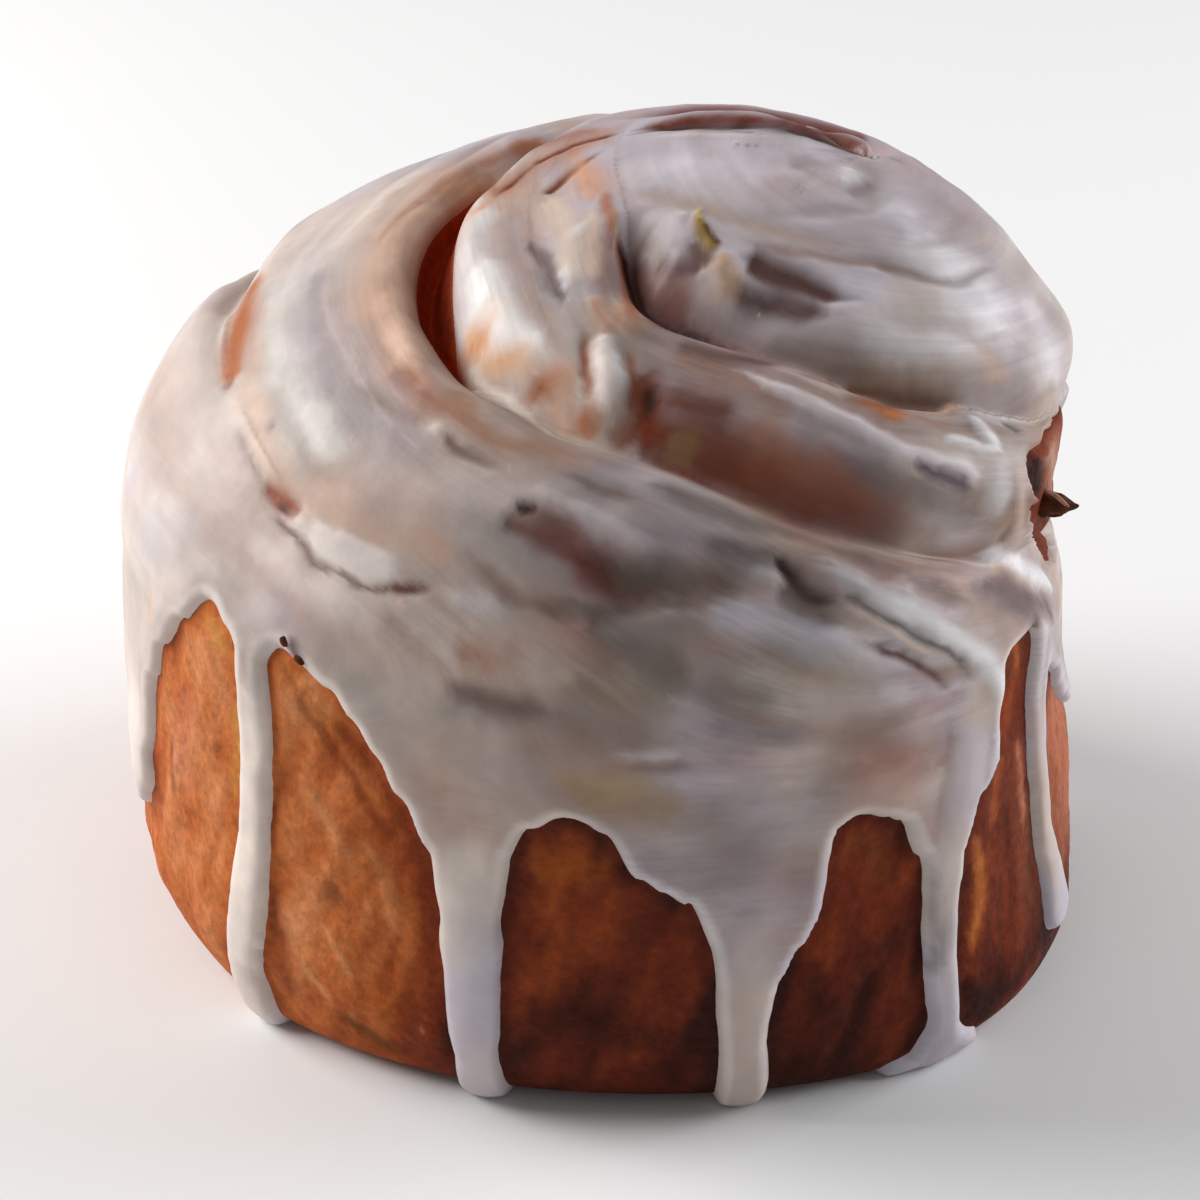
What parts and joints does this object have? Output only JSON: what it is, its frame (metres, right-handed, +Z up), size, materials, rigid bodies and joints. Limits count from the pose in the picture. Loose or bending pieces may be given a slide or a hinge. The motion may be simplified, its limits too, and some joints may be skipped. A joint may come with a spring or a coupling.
{
  "type": "cinnamon roll",
  "caption": "Tall round bun of rolled dough with a leaning spiral top, deep valleys between the turns and a thin cinnamon layer in them.",
  "frame": {"origin": "middle of the underside, on the surface the roll stands on", "axes": "+Z up; +X to the right and -Y towards the viewer when the curl of the spiral is at the back right"},
  "size_m": [0.096, 0.0862, 0.0804],
  "materials": {
    "crust": "baked dough, golden to dark brown, matte",
    "cinnamon_filling": "moist dark brown sugar and cinnamon",
    "glaze": "thin half-clear white sugar glaze, satin to glossy"
  },
  "bodies": {
    "root": {"dough": "crust", "filling": "cinnamon_filling"}
  },
  "joints": []
}
